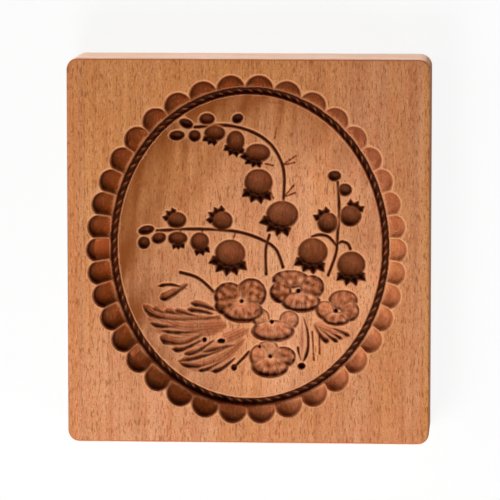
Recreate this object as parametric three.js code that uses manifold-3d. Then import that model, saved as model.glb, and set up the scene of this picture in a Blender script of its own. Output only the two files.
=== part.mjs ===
// Carved gingerbread mould: a small beech board with a sunk oval picture that prints a relief on dough.
// Millimetres, +Z up. The back lies on z = 0, the carved face is at the top, and the picture's top is at +Y.
// Everything on the face is a hollow, so each carving function returns a cutter to take from the board.

import * as THREE from 'three';
import { mergeVertices, toCreasedNormals } from 'three/addons/utils/BufferGeometryUtils.js';
import ManifoldModule from 'manifold-3d';

const manifold = await ManifoldModule();
manifold.setup();

// The board
const BOARD_WIDTH = 90;
const BOARD_LENGTH = 96;
const BOARD_THICKNESS = 20;
const CORNER_RADIUS = 3;
const EDGE_EASE = 0.6;
const FACE_Z = BOARD_THICKNESS;
const CLEAR_ABOVE_FACE = 1;
const ORIGIN = new THREE.Vector2(0, 0);

// The oval: the floor and the border's inner ends follow the rope's centre line
const OVAL_CENTRE = new THREE.Vector2(0.1, 0.8);
const ROPE_HALF_WIDTH_X = 33.9;
const ROPE_HALF_LENGTH_Y = 39;
const ROPE_HOLLOW_RADIUS = 0.85;
const ROPE_BOTTOM_DEPTH = 6.2;
const ROPE_STRAND_COUNT = 94;
const ROPE_RIDGE_RADIUS = 0.55;
const ROPE_SECTION_FACETS = 3;
const ROPE_TWIST_ACROSS = 1.5;

// The floor of the oval is slightly dished
const FLOOR_EDGE_DEPTH = 4.6;
const FLOOR_MIDDLE_DEPTH = 5.4;
const FLOOR_RINGS = 2;
const FLOOR_SEGMENTS = 24;

// The scalloped border: round gouge cuts that run down from the face to the rope
const SCALLOP_COUNT = 38;
const SCALLOP_CENTRE = new THREE.Vector2(-0.5, 0.5);
const SCALLOP_OUTER_X = 39.8;
const SCALLOP_OUTER_Y = 43.6;
const SCALLOP_PHASE_DEG = 85.6;
const SCALLOP_CROWDING_DEG = 1.7;
const SCALLOP_WIDTH_TO_PITCH = 1.03;
const SCALLOP_OUTER_DEPTH = 3.2;
const SCALLOP_FALL = 0.45;

// Depths of the picture's hollows below the floor
const BELL_DEPTH = 2.8;
const BELL_LOBE_DEPTH = 2.2;
const BUD_DEPTH = 1.7;
const STEM_WIDTH = 1.1;
const STEM_DEPTH = 1;
const WHISKER_WIDTH = 0.45;
const WHISKER_DEPTH = 0.4;
const EYE_RADIUS = 0.6;
const EYE_DEPTH = 2.2;
const PETAL_TILT_DEG = 11;
const PAN_BOTTOM_SHARE = 0.84;
const PAN_TOP_SHARE = 1.2;
const PAN_RISE = 2;
const LEAF_CUT_DEPTH = 1.4;
const LEAF_LEAN = 0.5;
const GOUGE_TIP_SHARE = 0.25;
const GOUGE_PLACES = [0.09, 0.25, 0.45, 0.75];
const LARGE_BELL_WIDTH = 7.5;
const LOBE_LENGTH = 2.1;
const LOBE_FOOT_LENGTH = 1;
const LOBE_HALF_WIDTH = 1.6;
const LOBE_SPREAD_DEG = 28;
const LOBE_SETBACK = 0.2;
const HOLLOW_RINGS = 4;
const RIM_LIFT = 0.2;

// Facets that meet at less than this angle are shaded as one smooth surface
const SMOOTH_BELOW_ANGLE = THREE.MathUtils.degToRad(42);

// Sprays of round bells; size is width and height, mouth is the direction of the pointed crown in degrees
const BELLS = [
  { at: [-8.6, 29.1], size: [5.4, 4.0], mouth: -120, lobes: 3 },
  { at: [-3.4, 27.1], size: [4.7, 5.4], mouth: -100, lobes: 4 },
  { at: [2.1, 24.2], size: [6.4, 4.7], mouth: -125, lobes: 4 },
  { at: [2.3, 16.8], size: [7.2, 6.9], mouth: -97, lobes: 4 },
  { at: [8.2, 8.8], size: [8.2, 7.0], mouth: -118, lobes: 4 },
  { at: [-18.1, 7.3], size: [5.0, 4.2], mouth: 140, lobes: 3 },
  { at: [-6.8, 7.2], size: [5.4, 5.0], mouth: 135, lobes: 4 },
  { at: [-17.9, 2.7], size: [5.0, 3.5], mouth: -85, lobes: 3 },
  { at: [-12.4, 1.9], size: [4.8, 4.8], mouth: -75, lobes: 3 },
  { at: [-4.8, -1.1], size: [7.8, 7.2], mouth: -100, lobes: 5 },
  { at: [25.2, 8.7], size: [5.6, 5.4], mouth: 62, lobes: 3 },
  { at: [19.5, 6.9], size: [5.3, 5.3], mouth: 125, lobes: 3 },
  { at: [15.8, -0.5], size: [7.6, 7.2], mouth: -102, lobes: 4 },
  { at: [25.4, -3.6], size: [7.2, 6.8], mouth: -90, lobes: 4 },
];

// Closed buds at the tips of the sprays; turn is in degrees
const BUDS = [
  { at: [-15.7, 31.5], size: [3.7, 2.3], turn: -20 },
  { at: [-18.0, 28.5], size: [4.0, 2.5], turn: 5 },
  { at: [-13.6, 28.4], size: [3.2, 3.0], turn: 0 },
  { at: [-10.5, 32.6], size: [4.0, 3.0], turn: 0 },
  { at: [-2.9, 32.8], size: [3.0, 2.4], turn: 20 },
  { at: [-25.7, 4.8], size: [4.2, 2.3], turn: 12 },
  { at: [-26.3, 1.6], size: [3.2, 3.2], turn: 0 },
  { at: [-22.6, 2.8], size: [3.8, 2.9], turn: 15 },
  { at: [21.2, 18.6], size: [3.5, 2.7], turn: 0 },
  { at: [23.8, 15.2], size: [3.7, 3.2], turn: -10 },
];

const STEMS = [
  [[-13.5, 30.6], [-5.8, 31.1], [0.9, 29.4], [5.3, 26.4], [7.9, 22.2], [8.7, 18.0], [8.4, 11.2]],
  [[5.0, 3.7], [4.1, 0.0], [4.2, -6.1]],
  [[-23.1, 4.6], [-15.3, 5.1], [-7.5, 4.9], [-2.1, 4.3], [3.4, 2.4], [6.7, 0.0], [8.4, -4.3]],
  [[22.0, 17.1], [22.4, 9.8], [22.0, 3.9], [21.6, -0.7], [19.7, -6.2]],
  [[21.8, 1.2], [19.7, 3.4], [17.6, 3.9], [15.6, 3.3]],
  [[21.9, 1.6], [23.1, 2.2], [24.5, 1.7], [25.2, 0.4]],
  [[-17.2, -5.8], [-12.8, -7.2], [-8.9, -10.6]],
  [[-0.1, -25.7], [-1.4, -27.1], [-3.5, -29.3]],
];

const WHISKERS = [
  [[6.8, 30.4], [6.3, 27.8]],
  [[8.6, 21.5], [11.6, 23.5]],
  [[8.8, 21.3], [11.4, 21.9]],
  [[8.8, 13.5], [11.0, 16.1]],
  [[8.8, 13.3], [11.4, 14.3]],
  [[3.9, 21.5], [5.9, 21.1]],
  [[5.3, 15.0], [6.0, 12.8]],
  [[15.7, -20.4], [16.2, -27.6]],
  [[17.5, -21.4], [17.6, -26.0]],
  [[-3.4, 4.5], [-4.2, 2.1]],
  [[-17.2, 4.8], [-16.8, 2.8]],
  [[-11.6, 5.0], [-12.1, 3.3]],
];

// Pansies: a small deep eye and its petals; size is a petal's width across the board and its height along it
const PANSIES = [
  { eye: [-2.0, -13.1], petals: [
    { at: [0.4, -11.1], size: [7.7, 7.7], depth: 1.2 },
    { at: [-5.0, -11.7], size: [7.6, 6.8], depth: 1.4 },
    { at: [-6.0, -14.2], size: [5.2, 4.2], depth: 1.6 },
    { at: [-1.6, -15.5], size: [10.4, 5.6], depth: 1.7 },
  ] },
  { eye: [12.2, -10.3], petals: [
    { at: [10.4, -7.4], size: [9.4, 4.5], depth: 1.1 },
    { at: [15.6, -9.3], size: [6.2, 5.9], depth: 1.6 },
    { at: [7.9, -10.6], size: [5.5, 5.4], depth: 1.5 },
    { at: [12.9, -13.0], size: [9.9, 5.1], depth: 1.6 },
  ] },
  { eye: [21.6, -15.2], petals: [
    { at: [23.4, -12.5], size: [7.4, 5.0], depth: 1.2 },
    { at: [25.1, -15.2], size: [4.6, 5.0], depth: 1.5 },
    { at: [18.9, -15.0], size: [4.6, 4.5], depth: 1.5 },
    { at: [21.8, -17.1], size: [6.9, 3.4], depth: 1.4 },
  ] },
  { eye: [5.6, -18.2], petals: [
    { at: [2.9, -17.1], size: [4.5, 4.5], depth: 1.1 },
    { at: [9.9, -17.6], size: [5.0, 4.7], depth: 1.2 },
    { at: [5.9, -20.3], size: [10.9, 5.4], depth: 1.5 },
  ] },
  { eye: [5.2, -26.9], petals: [
    { at: [4.7, -24.7], size: [5.4, 3.6], depth: 1.0 },
    { at: [8.5, -26.9], size: [6.2, 5.2], depth: 1.5 },
    { at: [2.5, -26.8], size: [4.8, 5.9], depth: 1.4 },
    { at: [5.2, -29.3], size: [9.4, 5.4], depth: 1.7 },
  ] },
];

// The shallow hollows of the leaves, which the leaf cuts then run into
const LEAF_BEDS = [
  { path: [[-25.8, -14.4], [-17.8, -19.3], [-5.3, -19.0]], width: 9.9, depth: 0.8 },
  { path: [[-17.9, -28.7], [-9.3, -28.6], [-0.8, -22.2]], width: 5.0, depth: 0.7 },
  { path: [[15.9, -18.5], [20.2, -20.3], [25.4, -21.2]], width: 5.4, depth: 0.9 },
  { path: [[13.2, -16.5], [13.3, -22.6], [13.3, -28.1]], width: 2.2, depth: 0.5 },
];

// Leaves, sepals and the long bud: pointed gouge cuts, each along a bent line
const LEAF_CUTS = [
  { path: [[-26.7, -13.7], [-24.3, -15.7], [-20.3, -16.9], [-14.3, -17.2], [-6.8, -17.1]], width: 3.7 },
  { path: [[-24.6, -14.7], [-22.1, -15.6], [-18.3, -17.1]], width: 2.0 },
  { path: [[-21.8, -15.5], [-19.1, -15.8], [-15.3, -17.0]], width: 2.0 },
  { path: [[-19.1, -15.3], [-16.3, -15.8], [-12.3, -17.0]], width: 2.0 },
  { path: [[-15.8, -15.1], [-12.6, -15.2], [-8.8, -16.2]], width: 2.0 },
  { path: [[-14.9, -13.4], [-11.6, -13.9], [-7.8, -15.3]], width: 2.2 },
  { path: [[-11.6, -17.5], [-9.3, -17.0], [-6.8, -16.5]], width: 0.7 },
  { path: [[-15.1, -18.2], [-11.3, -18.6], [-6.8, -18.0]], width: 0.6 },
  { path: [[-24.9, -18.4], [-22.3, -19.0], [-18.3, -19.2], [-13.3, -18.4]], width: 2.2 },
  { path: [[-22.2, -20.2], [-19.3, -20.6], [-14.8, -20.6], [-7.8, -19.5]], width: 2.0 },
  { path: [[-22.5, -21.8], [-20.4, -22.5], [-16.3, -23.0], [-10.8, -20.4]], width: 3.7 },
  { path: [[-20.9, -22.0], [-16.8, -22.2], [-11.8, -21.7]], width: 0.6 },
  { path: [[-19.6, -25.0], [-16.3, -24.7], [-11.3, -22.4]], width: 2.2 },
  { path: [[-16.5, -26.2], [-13.3, -25.5], [-8.6, -22.6]], width: 2.2 },
  { path: [[-18.1, -28.2], [-14.3, -27.2], [-10.3, -26.2], [-3.8, -23.9]], width: 2.2 },
  { path: [[-12.1, -25.8], [-8.1, -24.7], [-3.3, -23.9]], width: 2.2 },
  { path: [[-17.7, -28.4], [-14.6, -28.9], [-11.3, -28.8], [-5.8, -26.5]], width: 2.5 },
  { path: [[-13.0, -30.4], [-10.1, -29.6], [-5.8, -27.3]], width: 2.0 },
  { path: [[-9.7, -30.6], [-6.8, -29.6], [-3.3, -27.0]], width: 2.0 },
  { path: [[20.2, -22.9], [18.4, -21.7], [16.4, -18.7]], width: 2.2 },
  { path: [[22.4, -22.9], [20.4, -21.6], [17.4, -19.2]], width: 1.7 },
  { path: [[23.6, -22.2], [21.4, -21.0], [18.2, -19.3]], width: 1.5 },
  { path: [[25.4, -21.5], [22.6, -20.1], [18.9, -18.9]], width: 1.7 },
  { path: [[-22.6, -12.3], [-19.8, -11.2], [-15.3, -8.6]], width: 3.2 },
  { path: [[-23.1, -9.3], [-19.6, -8.8], [-15.3, -10.0]], width: 1.2 },
  { path: [[13.2, -28.6], [14.5, -25.1], [14.5, -20.6], [13.4, -16.5]], width: 1.2 },
  { path: [[12.2, -23.9], [12.4, -25.6], [13.1, -27.9]], width: 0.9 },
];

// Small round pits in the leaves and at the ends of thin stems
const PITS = [
  { at: [2.5, -24.5], size: [0.9, 0.9], depth: 2.2 },
  { at: [-11.2, -22.7], size: [1.1, 1.1], depth: 2.2 },
  { at: [-7.0, -23.0], size: [2.0, 1.1], depth: 2.2 },
  { at: [-3.8, -29.6], size: [1.6, 1.8], depth: 1.3 },
  { at: [13.1, -29.1], size: [2.0, 1.6], depth: 2.2 },
];

// The beech of the photograph, warm and lightly oiled
const BEECH = new THREE.MeshStandardMaterial({ color: 0xc88755, roughness: 0.7, metalness: 0 });

// A closed three.js geometry as a solid that can be cut; pole triangles with two equal corners are left out
function asSolid(geometry) {
  const plain = geometry.clone();
  plain.deleteAttribute('normal');
  plain.deleteAttribute('uv');
  const merged = mergeVertices(plain, 1e-4);
  const corners = merged.index.array;
  const kept = [];
  for (let i = 0; i < corners.length; i += 3) {
    const [a, b, c] = [corners[i], corners[i + 1], corners[i + 2]];
    if (a !== b && b !== c && c !== a) kept.push(a, b, c);
  }
  const mesh = new manifold.Mesh({
    numProp: 3,
    vertProperties: new Float32Array(merged.attributes.position.array),
    triVerts: new Uint32Array(kept),
  });
  return new manifold.Manifold(mesh);
}

function asGeometry(solid) {
  const mesh = solid.getMesh();
  const geometry = new THREE.BufferGeometry();
  geometry.setAttribute('position', new THREE.BufferAttribute(new Float32Array(mesh.vertProperties), 3));
  geometry.setIndex(new THREE.BufferAttribute(new Uint32Array(mesh.triVerts), 1));
  return toCreasedNormals(geometry, SMOOTH_BELOW_ANGLE);
}

// Height of the dished floor at a place on the board
function floorZ(x, y) {
  const across = (x - OVAL_CENTRE.x) / ROPE_HALF_WIDTH_X;
  const along = (y - OVAL_CENTRE.y) / ROPE_HALF_LENGTH_Y;
  const outward = Math.min(1, Math.hypot(across, along));
  return FACE_Z - FLOOR_MIDDLE_DEPTH + (FLOOR_MIDDLE_DEPTH - FLOOR_EDGE_DEPTH) * outward * outward;
}

// Distance from the middle to an ellipse, in a given direction
function ellipseReach(halfX, halfY, angle) {
  return 1 / Math.hypot(Math.cos(angle) / halfX, Math.sin(angle) / halfY);
}

function placeRound(centre, reach, angle) {
  return new THREE.Vector2(reach, 0).rotateAround(ORIGIN, angle).add(centre);
}

// Faces of the bands between rings of points; each ring has the same number of sides
function bandFaces(sides, ringCount, isLoop) {
  const faces = [];
  const bands = isLoop ? ringCount : ringCount - 1;
  for (let i = 0; i < bands; i += 1) {
    const here = i * sides;
    const next = ((i + 1) % ringCount) * sides;
    for (let j = 0; j < sides; j += 1) {
      const k = (j + 1) % sides;
      faces.push(here + j, here + k, next + j);
      faces.push(here + k, next + k, next + j);
    }
  }
  return faces;
}

function loopSkin(rings) {
  const geometry = new THREE.BufferGeometry().setFromPoints(rings.flat());
  geometry.setIndex(bandFaces(rings[0].length, rings.length, true));
  return geometry;
}

function tippedSkin(firstTip, rings, lastTip) {
  const sides = rings[0].length;
  const points = [...rings.flat(), firstTip, lastTip];
  const faces = bandFaces(sides, rings.length, false);
  const lastRing = (rings.length - 1) * sides;
  for (let j = 0; j < sides; j += 1) {
    const k = (j + 1) % sides;
    faces.push(points.length - 2, k, j);
    faces.push(points.length - 1, lastRing + j, lastRing + k);
  }
  const geometry = new THREE.BufferGeometry().setFromPoints(points);
  geometry.setIndex(faces);
  return geometry;
}

function boardBlank() {
  const halfWidth = BOARD_WIDTH / 2 - EDGE_EASE;
  const halfLength = BOARD_LENGTH / 2 - EDGE_EASE;
  const radius = CORNER_RADIUS - EDGE_EASE;
  const outline = new THREE.Shape();
  outline.absarc(halfWidth - radius, halfLength - radius, radius, 0, Math.PI / 2);
  outline.absarc(radius - halfWidth, halfLength - radius, radius, Math.PI / 2, Math.PI);
  outline.absarc(radius - halfWidth, radius - halfLength, radius, Math.PI, Math.PI * 1.5);
  outline.absarc(halfWidth - radius, radius - halfLength, radius, Math.PI * 1.5, Math.PI * 2);
  const blank = new THREE.ExtrudeGeometry(outline, {
    depth: BOARD_THICKNESS - 2 * EDGE_EASE,
    bevelSize: EDGE_EASE,
    bevelThickness: EDGE_EASE,
    bevelSegments: 2,
    curveSegments: 5,
  });
  blank.translate(0, 0, EDGE_EASE);
  return blank;
}

// The sunk oval out to the rope's centre line
function dishedOval() {
  const profile = [];
  for (let i = 0; i <= FLOOR_RINGS; i += 1) {
    const outward = i / FLOOR_RINGS;
    const height = floorZ(OVAL_CENTRE.x + outward * ROPE_HALF_WIDTH_X, OVAL_CENTRE.y);
    profile.push(new THREE.Vector2(outward, height));
  }
  profile.push(new THREE.Vector2(1, FACE_Z + CLEAR_ABOVE_FACE));
  profile.push(new THREE.Vector2(0, FACE_Z + CLEAR_ABOVE_FACE));
  const dish = new THREE.LatheGeometry(profile, FLOOR_SEGMENTS);
  dish.rotateX(Math.PI / 2);
  dish.scale(ROPE_HALF_WIDTH_X, ROPE_HALF_LENGTH_Y, 1);
  dish.translate(OVAL_CENTRE.x, OVAL_CENTRE.y, 0);
  return dish;
}

// One gouge cut of the border: a round-ended trough from the face down to the rope
function scallop(angle, widthAngle) {
  const outer = ellipseReach(SCALLOP_OUTER_X, SCALLOP_OUTER_Y, angle);
  const ropeShift = OVAL_CENTRE.clone().sub(SCALLOP_CENTRE).dot(placeRound(ORIGIN, 1, angle));
  const inner = ellipseReach(ROPE_HALF_WIDTH_X, ROPE_HALF_LENGTH_Y, angle) + ropeShift;
  const radius = (SCALLOP_WIDTH_TO_PITCH * outer * widthAngle) / (2 + SCALLOP_WIDTH_TO_PITCH * widthAngle);
  const start = new THREE.Vector3(outer - radius, 0, FACE_Z - SCALLOP_OUTER_DEPTH + radius);
  const end = new THREE.Vector3(inner, 0, start.z - SCALLOP_FALL * (start.x - inner));
  const trough = new THREE.CapsuleGeometry(radius, start.distanceTo(end), 3, 10);
  const along = end.clone().sub(start).normalize();
  trough.applyQuaternion(new THREE.Quaternion().setFromUnitVectors(new THREE.Vector3(0, 1, 0), along));
  trough.translate((start.x + end.x) / 2, 0, (start.z + end.z) / 2);
  trough.rotateZ(angle);
  trough.translate(SCALLOP_CENTRE.x, SCALLOP_CENTRE.y, 0);
  return trough;
}

// The scallops sit a little closer together along the sides than at the top and bottom
function scallopAngle(index) {
  const even = THREE.MathUtils.degToRad(SCALLOP_PHASE_DEG + (360 * index) / SCALLOP_COUNT);
  return even - THREE.MathUtils.degToRad(SCALLOP_CROWDING_DEG) * Math.sin(2 * even);
}

function scallopBorder() {
  const cuts = [];
  for (let i = 0; i < SCALLOP_COUNT; i += 1) {
    const widthAngle = (scallopAngle(i + 1) - scallopAngle(i - 1)) / 2;
    cuts.push(scallop(scallopAngle(i), widthAngle));
  }
  return cuts;
}

// The twisted cord: a deep groove round the oval whose bottom is cut into slanted strands with sharp ridges
function ropeGroove() {
  const line = new THREE.EllipseCurve(OVAL_CENTRE.x, OVAL_CENTRE.y, ROPE_HALF_WIDTH_X, ROPE_HALF_LENGTH_Y);
  line.arcLengthDivisions = 2000;
  const axisZ = FACE_Z - ROPE_BOTTOM_DEPTH + ROPE_HOLLOW_RADIUS;
  const top = FACE_Z + CLEAR_ABOVE_FACE;
  const rings = [];
  for (let i = 0; i < 2 * ROPE_STRAND_COUNT; i += 1) {
    const depthRadius = i % 2 === 0 ? ROPE_HOLLOW_RADIUS : ROPE_RIDGE_RADIUS;
    const ring = [];
    const addPoint = (across, z, lean) => {
      const share = (i / 2 + lean * ROPE_TWIST_ACROSS) / ROPE_STRAND_COUNT;
      const u = (share + 1) % 1;
      const point = line.getPointAt(u);
      const tangent = line.getTangentAt(u);
      ring.push(new THREE.Vector3(point.x + tangent.y * across, point.y - tangent.x * across, z));
    };
    addPoint(-ROPE_HOLLOW_RADIUS, top, -0.5);
    addPoint(ROPE_HOLLOW_RADIUS, top, 0.5);
    for (let j = ROPE_SECTION_FACETS; j >= 0; j -= 1) {
      const lean = j / ROPE_SECTION_FACETS - 0.5;
      const swing = Math.PI * lean;
      const isWall = j === 0 || j === ROPE_SECTION_FACETS;
      const radius = isWall ? ROPE_HOLLOW_RADIUS : depthRadius;
      addPoint(ROPE_HOLLOW_RADIUS * Math.sin(swing), axisZ - radius * Math.cos(swing), lean);
    }
    rings.push(ring);
  }
  return loopSkin(rings);
}

// A round or oval hollow in the floor: the lower part of an ellipsoid
function ovalHollow({ at, size, depth, turn = 0, sides = 10 }) {
  const hollow = new THREE.SphereGeometry(1, sides, HOLLOW_RINGS);
  hollow.rotateX(Math.PI / 2);
  hollow.scale(size[0] / 2, size[1] / 2, depth + RIM_LIFT);
  hollow.rotateZ(turn);
  hollow.translate(at[0], at[1], floorZ(at[0], at[1]) + RIM_LIFT);
  return hollow;
}

// A petal: a flat-bottomed pan with steep walls, deeper at its outer rim than at the eye
function petalPan({ at, size, depth }, eye) {
  const pan = new THREE.CylinderGeometry(PAN_TOP_SHARE, PAN_BOTTOM_SHARE, depth + PAN_RISE, 12);
  pan.rotateX(Math.PI / 2);
  pan.scale(size[0] / 2, size[1] / 2, 1);
  pan.translate(0, 0, (PAN_RISE - depth) / 2);
  const outward = Math.atan2(at[1] - eye[1], at[0] - eye[0]);
  pan.rotateZ(-outward);
  pan.rotateY(THREE.MathUtils.degToRad(PETAL_TILT_DEG));
  pan.rotateZ(outward);
  pan.translate(at[0], at[1], floorZ(at[0], at[1]));
  return pan;
}

// A V-shaped cut along a bent line; shape gives the share of full size at a place from 0 to 1 along it,
// and lean moves the deepest line toward the left or right wall
function vCut(path, width, depth, shape, places, lean = 0) {
  const line = new THREE.SplineCurve(path.map(([x, y]) => new THREE.Vector2(x, y)));
  const onFloor = (point) => new THREE.Vector3(point.x, point.y, floorZ(point.x, point.y) + RIM_LIFT);
  const rings = [];
  for (const place of places) {
    const middle = onFloor(line.getPointAt(place));
    const tangent = line.getTangentAt(place);
    const share = shape(place);
    const side = new THREE.Vector3(-tangent.y, tangent.x, 0).multiplyScalar((width / 2) * share);
    const down = new THREE.Vector3(0, 0, -(depth + RIM_LIFT) * share);
    rings.push([
      middle.clone().add(side),
      middle.clone().sub(down),
      middle.clone().sub(side),
      middle.clone().add(down).addScaledVector(side, lean),
    ]);
  }
  return tippedSkin(onFloor(line.getPointAt(0)), rings, onFloor(line.getPointAt(1)));
}

const evenWidth = () => 1;
const pointedEnds = (u) => Math.sin(Math.PI * u) ** 0.6;
const gougedEnds = (u) => Math.min(1, u / GOUGE_TIP_SHARE) ** 0.8 * (1 - u) ** 0.4;

function evenPlaces(count) {
  return Array.from({ length: count }, (_, i) => (i + 1) / (count + 1));
}

function stem(path) {
  return vCut(path, STEM_WIDTH, STEM_DEPTH, evenWidth, evenPlaces(path.length * 2 - 3));
}

function whisker(path) {
  return vCut(path, WHISKER_WIDTH, WHISKER_DEPTH, evenWidth, evenPlaces(2));
}

function leafBed({ path, width, depth }) {
  return vCut(path, width, depth, pointedEnds, evenPlaces(6));
}

// A gouge cut with a blunt, deep tip at the path's start; its lower side on the board is the steeper one
function leafCut({ path, width }) {
  const runsRight = path[path.length - 1][0] > path[0][0];
  const depth = LEAF_CUT_DEPTH * Math.min(1, width);
  return vCut(path, width, depth, gougedEnds, GOUGE_PLACES, runsRight ? -LEAF_LEAN : LEAF_LEAN);
}

// A round bell with a crown of short pointed lobes at its mouth
function bell({ at, size, mouth, lobes }) {
  const share = (size[0] + size[1]) / (2 * LARGE_BELL_WIDTH);
  const cuts = [ovalHollow({ at, size, depth: BELL_DEPTH * Math.sqrt(share) })];
  for (let i = 0; i < lobes; i += 1) {
    const angle = THREE.MathUtils.degToRad(mouth + (i - (lobes - 1) / 2) * LOBE_SPREAD_DEG);
    const reach = ellipseReach(size[0] / 2, size[1] / 2, angle) + LOBE_SETBACK * share;
    const foot = placeRound(new THREE.Vector2(...at), reach, angle);
    cuts.push(lobe(foot, angle, share));
  }
  return cuts;
}

// A pointed cut whose widest and deepest place lies near its foot
function lobe(foot, angle, share) {
  const depth = BELL_LOBE_DEPTH * Math.sqrt(share) + RIM_LIFT;
  const kite = new THREE.OctahedronGeometry(1);
  kite.scale(LOBE_LENGTH * share, LOBE_HALF_WIDTH * share, depth);
  const corners = kite.attributes.position;
  for (let i = 0; i < corners.count; i += 1) {
    if (corners.getX(i) < 0) corners.setX(i, -LOBE_FOOT_LENGTH * share);
  }
  kite.rotateZ(angle);
  kite.translate(foot.x, foot.y, floorZ(foot.x, foot.y) + RIM_LIFT);
  return kite;
}

function bud({ at, size, turn }) {
  return ovalHollow({ at, size, depth: BUD_DEPTH, turn: THREE.MathUtils.degToRad(turn), sides: 8 });
}

// The petals of a pansy meet round one small deep eye
function pansy({ eye, petals }) {
  const cuts = petals.map((petal) => petalPan(petal, eye));
  cuts.push(pit({ at: eye, size: [2 * EYE_RADIUS, 2 * EYE_RADIUS], depth: EYE_DEPTH }));
  return cuts;
}

function pit({ at, size, depth }) {
  return ovalHollow({ at, size, depth, sides: 6 });
}

function carving() {
  return [
    dishedOval(),
    ropeGroove(),
    ...scallopBorder(),
    ...BELLS.flatMap(bell),
    ...BUDS.map(bud),
    ...STEMS.map(stem),
    ...WHISKERS.map(whisker),
    ...PANSIES.flatMap(pansy),
    ...LEAF_BEDS.map(leafBed),
    ...LEAF_CUTS.map(leafCut),
    ...PITS.map(pit),
  ];
}

// The board is the largest solid left after carving; loose crumbs between two cuts fall away
function mouldBlock() {
  const cutters = manifold.Manifold.union(carving().map(asSolid));
  const carved = asSolid(boardBlank()).subtract(cutters);
  const [board] = carved.decompose().sort((a, b) => b.volume() - a.volume());
  const block = new THREE.Mesh(asGeometry(board), BEECH);
  block.name = 'mould_block';
  return block;
}

const mould = new THREE.Group();
mould.name = 'carved_gingerbread_mould';
mould.add(mouldBlock());

export default mould;
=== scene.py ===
# Carved gingerbread mould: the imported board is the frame, and one finely carved board of beech stands for it.
# The carving has the CAD source's sizes and places, and the tool work that the solid leaves out.
import math

import bpy
import numpy as np
from mathutils import Matrix, Vector


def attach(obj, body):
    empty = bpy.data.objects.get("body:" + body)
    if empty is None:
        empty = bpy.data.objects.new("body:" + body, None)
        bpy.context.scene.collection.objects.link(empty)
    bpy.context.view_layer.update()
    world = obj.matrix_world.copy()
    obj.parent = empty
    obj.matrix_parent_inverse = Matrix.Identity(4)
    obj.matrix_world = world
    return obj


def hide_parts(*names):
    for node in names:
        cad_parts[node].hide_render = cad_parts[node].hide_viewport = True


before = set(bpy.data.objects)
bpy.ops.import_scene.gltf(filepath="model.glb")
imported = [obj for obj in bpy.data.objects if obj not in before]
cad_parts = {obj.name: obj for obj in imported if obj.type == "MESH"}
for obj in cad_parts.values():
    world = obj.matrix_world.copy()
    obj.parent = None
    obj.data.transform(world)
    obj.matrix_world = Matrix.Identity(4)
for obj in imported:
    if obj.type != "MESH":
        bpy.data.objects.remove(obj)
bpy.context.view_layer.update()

MM = 0.001
TINY = 1e-6

# The board, in millimetres as in the CAD source
BOARD_WIDTH = 90.0
BOARD_LENGTH = 96.0
BOARD_THICKNESS = 20.0
CORNER_RADIUS = 3.0
EDGE_EASE = 0.6
FACE_Z = BOARD_THICKNESS

# The oval border
OVAL_CENTRE = (0.1, 0.8)
ROPE_HALF_WIDTH_X = 33.9
ROPE_HALF_LENGTH_Y = 39.0
ROPE_HOLLOW_RADIUS = 0.85
ROPE_BOTTOM_DEPTH = 6.2
ROPE_STRAND_COUNT = 94
ROPE_RIDGE_RADIUS = 0.3
ROPE_TWIST_ACROSS = 1.5
FLOOR_EDGE_DEPTH = 4.6
FLOOR_MIDDLE_DEPTH = 5.4
SCALLOP_COUNT = 38
SCALLOP_CENTRE = (-0.5, 0.5)
SCALLOP_OUTER_X = 39.8
SCALLOP_OUTER_Y = 43.6
SCALLOP_PHASE_DEG = 85.6
SCALLOP_CROWDING_DEG = 1.7
SCALLOP_WIDTH_TO_PITCH = 1.03
SCALLOP_OUTER_DEPTH = 3.2
SCALLOP_FALL = 0.45

# The picture's hollows; their depths are below the floor
BELL_DEPTH = 2.8
BELL_LOBE_DEPTH = 2.2
LARGE_BELL_WIDTH = 7.5
LOBE_LENGTH = 2.1
LOBE_FOOT_LENGTH = 1.0
LOBE_HALF_WIDTH = 1.6
LOBE_SPREAD_DEG = 28
LOBE_SETBACK = 0.2
BUD_DEPTH = 1.7
STEM_WIDTH = 1.1
STEM_DEPTH = 1.0
WHISKER_WIDTH = 0.45
WHISKER_DEPTH = 0.4
EYE_RADIUS = 0.6
EYE_DEPTH = 2.2
PETAL_TILT_DEG = 11
LEAF_CUT_DEPTH = 1.4
LEAF_LEAN = 0.5
GOUGE_TIP_SHARE = 0.25
RIM_LIFT = 0.2

# The grid of heights, the tool work that only this model has, painted shade in creases, and rims paler
# from wear and a painted highlight
GRID_STEP = 0.15
EDGE_SOFTNESS = 0.13
BLUR_REACH = 2.5
WAVE_COUNT = 12
WAVE_LENGTH_SPREAD = (0.7, 1.5)
FLOOR_UNEVENNESS = 0.05
FLOOR_WAVE_LENGTH = 7.0
PAN_STEEPNESS = 0.22
LOBE_STEEPNESS = 0.7
STRAND_FULLNESS = 0.8
PETAL_VEIN_DEPTH = 0.13
PETAL_VEINS = 18
PETAL_VEIN_THINNESS = 3
PETAL_VEIN_FULL_AT = 3.0
PETAL_VEIN_WANDER = 0.5
PETAL_VEIN_BENDS = 3
PETAL_VEIN_CURL = 0.9
LEAF_STEEPNESS = 0.65
LEAF_VEIN_DEPTH = 0.07
LEAF_VEIN_PITCH = 0.7
GOUGE_TIP_FULLNESS = 0.8
GOUGE_TAIL_FULLNESS = 0.4
BED_FULLNESS = 0.6
STROKE_WANDER = 0.06
STROKE_WANDER_LENGTH = 2.6
# Painted shade in creases at the feet of walls, fullest where the hollow is stained
CREASE_REACH = 0.4
CREASE_DEPTH = 0.22
CREASE_FULL_STAIN = 0.6
# Rims paler from wear and a painted highlight, less so where stained
WEAR_REACH = 0.35
WEAR_HEIGHT = 0.09
WEAR_LOST_IN_STAIN = 0.6

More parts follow.
